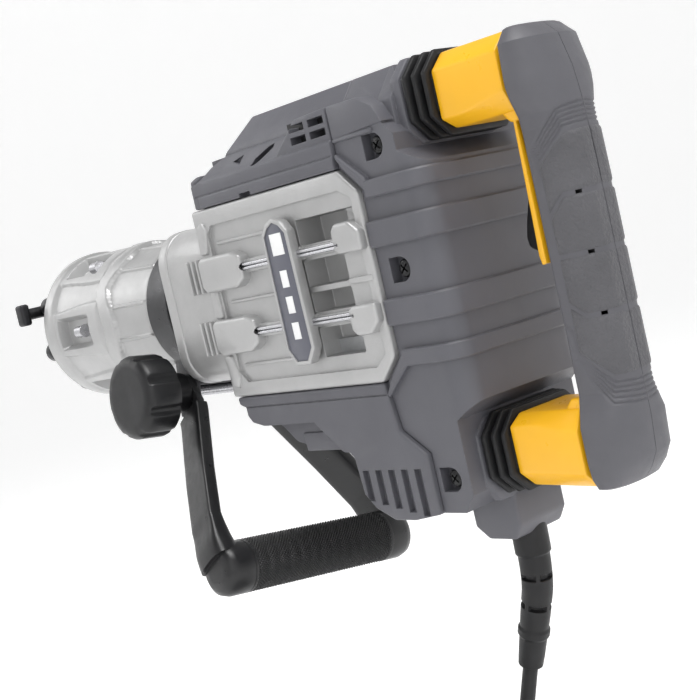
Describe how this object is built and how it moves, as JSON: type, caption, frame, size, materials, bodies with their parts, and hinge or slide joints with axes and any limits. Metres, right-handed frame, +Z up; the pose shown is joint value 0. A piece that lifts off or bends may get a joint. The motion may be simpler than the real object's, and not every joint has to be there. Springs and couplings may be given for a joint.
{
  "type": "demolition hammer",
  "caption": "Heavy electric demolition hammer with hex tool socket, swinging side handle, damped rear D-handle and mains cord.",
  "frame": {"origin": "centre of the nose housing's front face, on the barrel axis", "axes": "+X along the barrel axis out of the nose, +Z up with the D-handle upright, +Y to the operator's left"},
  "size_m": [0.581, 0.2672, 0.5],
  "materials": {
    "nose_paint": "satin paint",
    "case_paint": "satin paint",
    "grey_plastic": "fine texture",
    "yellow_plastic": "satin",
    "black_plastic": "matte",
    "rubber_black": "matte",
    "steel": "ground",
    "dark_steel": "blackened",
    "bolt_steel": "plated",
    "strap_paint": "satin",
    "aluminium_cast": "as cast",
    "bronze": "machined",
    "copper_coil": "varnished wire",
    "badge_plastic": "satin",
    "cast_steel": "machined",
    "carbon": "matte"
  },
  "bodies": {
    "base": {"nose_housing": "nose_paint", "nose_bolts": "bolt_steel", "tool_sleeve": "steel", "nose_cap": "dark_steel", "front_flange": "case_paint", "gearbox_case": "case_paint", "tie_rods": "bolt_steel", "badge_plates": "badge_plastic", "top_shell": "grey_plastic", "speed_module": "black_plastic", "bottom_shell": "grey_plastic", "base_screw": "dark_steel", "rear_housing": "grey_plastic", "housing_screws": "dark_steel", "capacitor": "aluminium_cast", "upper_bellows": "rubber_black", "lower_bellows": "rubber_black", "isolator_springs": "steel", "stator_core": "cast_steel", "field_coils": "copper_coil", "brush_holders": "bronze", "carbon_brushes": "carbon", "motor_bearings": "steel", "crank_bearing": "steel", "bearing_plate": "aluminium_cast", "cylinder": "steel", "strain_relief": "rubber_black", "cord_run": "rubber_black", "cord_coil": "rubber_black", "mains_plug": "rubber_black"},
    "strap": {"handle_strap": "strap_paint", "clamp_block": "strap_paint", "clamp_bolt": "bolt_steel"},
    "knob": {"clamp_knob": "black_plastic"},
    "bow": {"handle_bow": "dark_steel", "arm_sleeves": "black_plastic", "hand_grip": "rubber_black"},
    "pin": {"cross_pin": "dark_steel"},
    "rear_handle": {"handle_frame": "yellow_plastic", "handle_shell_left": "grey_plastic", "handle_shell_right": "grey_plastic", "trigger_pivot": "steel", "switch_module": "black_plastic"},
    "trigger_lever": {"trigger": "black_plastic"},
    "button": {"lock_button": "black_plastic"},
    "armature": {"armature_shaft": "steel", "drive_pinion": "steel", "armature_core": "cast_steel", "commutator": "copper_coil", "cooling_fan": "black_plastic"},
    "crank": {"crank_gear": "steel", "crank_shaft": "cast_steel"},
    "piston_group": {"piston": "aluminium_cast", "piston_seal": "rubber_black", "wrist_pin": "steel"},
    "rod": {"connecting_rod": "cast_steel"},
    "striker_group": {"striker": "steel", "striker_seal": "rubber_black"},
    "anvil": {"impact_bolt": "steel"}
  },
  "joints": [
    {"name": "handle_swivel", "type": "hinge", "parent": "base", "child": "strap", "pos_m": [-0.165, 0, 0], "axis": [1, 0, 0], "range_deg": [-180, 180]},
    {"name": "handle_tilt", "type": "hinge", "parent": "strap", "child": "bow", "pos_m": [-0.165, 0.00987, -0.06526], "axis": [0, 0.9888, 0.1495], "range_deg": [-55, 20]},
    {"name": "knob_spin", "type": "hinge", "parent": "strap", "child": "knob", "pos_m": [-0.165, 0.00987, -0.06526], "axis": [0, 0.9888, 0.1495], "continuous": true},
    {"name": "cross_pin_turn", "type": "hinge", "parent": "base", "child": "pin", "pos_m": [0.018, 0, 0.0225], "axis": [0, 1, 0], "range_deg": [0, 180]},
    {"name": "handle_slide", "type": "slide", "parent": "base", "child": "rear_handle", "axis": [1, 0, 0], "range_m": [0, 0.004], "stiffness_N_per_m": 15000, "springref_m": -0.001, "deforming": ["upper_bellows", "lower_bellows", "isolator_springs"]},
    {"name": "trigger_pull", "type": "hinge", "parent": "rear_handle", "child": "trigger_lever", "pos_m": [-0.5205, 0, 0.032], "axis": [0, 1, 0], "range_deg": [0, 8], "stiffness_Nm_per_rad": 1, "springref_deg": -8.59},
    {"name": "lock_press", "type": "slide", "parent": "rear_handle", "child": "button", "axis": [-1, 0, 0], "range_m": [0, 0.003], "stiffness_N_per_m": 300, "springref_m": -0.003},
    {"name": "armature_spin", "type": "hinge", "parent": "base", "child": "armature", "pos_m": [-0.402, 0, -0.08], "axis": [0, 0, 1], "continuous": true},
    {"name": "crank_spin", "type": "hinge", "parent": "base", "child": "crank", "pos_m": [-0.36075, 0, -0.03], "axis": [0, 0, 1], "continuous": true},
    {"name": "piston_slide", "type": "slide", "parent": "base", "child": "piston_group", "axis": [1, 0, 0], "range_m": [-0.048, 0]},
    {"name": "rod_swing", "type": "hinge", "parent": "piston_group", "child": "rod", "pos_m": [-0.25675, 0, 0], "axis": [0, 0, 1], "range_deg": [-17, 17]},
    {"name": "striker_slide", "type": "slide", "parent": "base", "child": "striker_group", "axis": [1, 0, 0], "range_m": [-0.03, 0.006]},
    {"name": "impact_bolt_slide", "type": "slide", "parent": "base", "child": "anvil", "axis": [1, 0, 0], "range_m": [-0.006, 0.003]}
  ],
  "couplings": [
    {"joint": "crank_spin", "follows": "armature_spin", "ratio": -0.15789}
  ]
}
